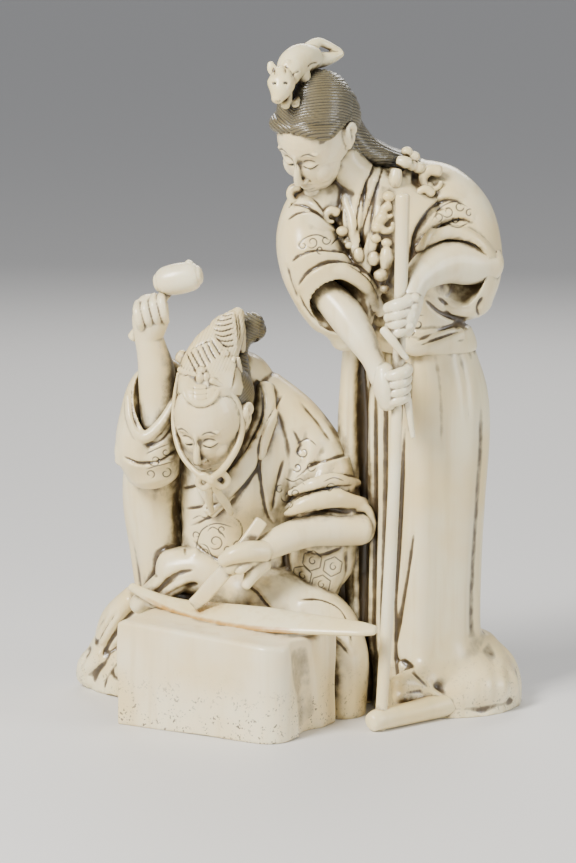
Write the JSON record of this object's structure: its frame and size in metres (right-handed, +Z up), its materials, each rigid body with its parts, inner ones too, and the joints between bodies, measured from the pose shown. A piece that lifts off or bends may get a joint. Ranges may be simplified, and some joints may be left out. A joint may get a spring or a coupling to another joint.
{
  "type": "okimono figure group",
  "caption": "Carved ivory group of a kneeling swordsmith at an anvil block and a standing helper with a long sledge hammer and a fox on the hair.",
  "frame": {"origin": "middle of the ground area, at the bottom centre of the bounding box", "axes": "+Z up, -Y towards the viewer of the picture, +X to the right"},
  "size_m": [0.1216, 0.0756, 0.1797],
  "materials": {
    "figure_ivory": "carved and polished ivory, satin gloss with brown stain in the cuts",
    "block_ivory": "carved and polished ivory, satin gloss with brown stain in the cuts",
    "blade_ivory": "carved and polished ivory, satin gloss with brown stain in the cuts"
  },
  "bodies": {
    "root": {"helper": "figure_ivory", "smith": "figure_ivory", "anvil_block": "block_ivory", "blade": "blade_ivory", "tongs": "block_ivory", "sledge_rod": "figure_ivory", "sledge_head": "blade_ivory", "mallet_rod": "figure_ivory", "mallet_head": "figure_ivory"}
  },
  "joints": []
}
